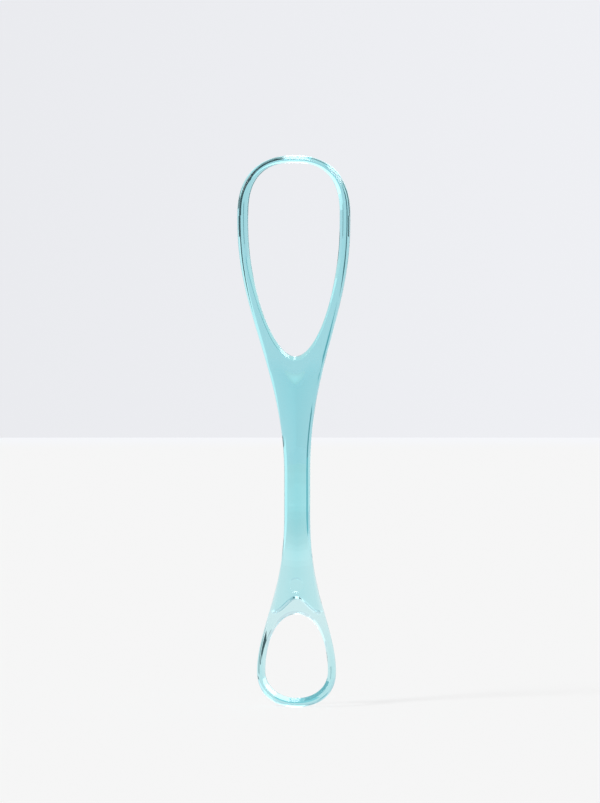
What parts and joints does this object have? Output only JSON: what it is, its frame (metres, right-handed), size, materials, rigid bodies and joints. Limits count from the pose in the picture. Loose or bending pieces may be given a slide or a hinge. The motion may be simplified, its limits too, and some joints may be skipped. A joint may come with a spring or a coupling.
{
  "type": "tongue scraper",
  "caption": "Double-ended tongue scraper of clear tinted plastic: a large and a small open loop at the ends of a waisted, ridged grip, bowed in profile.",
  "frame": {"origin": "centre of the part's box across X and Y, at the tip of the small loop, on which it stands", "axes": "+Z runs along the tool from the small loop to the large one; +X runs across the loops; -Y is the front, the side with the ridge, towards which both loops bow, and +Y is the back"},
  "size_m": [0.033, 0.0126, 0.16],
  "materials": {
    "clear_teal_plastic": "clear injection-moulded plastic with a light teal tint and a glossy, polished surface"
  },
  "bodies": {
    "root": {"large_loop": "clear_teal_plastic", "handle": "clear_teal_plastic", "small_loop": "clear_teal_plastic"}
  },
  "joints": []
}
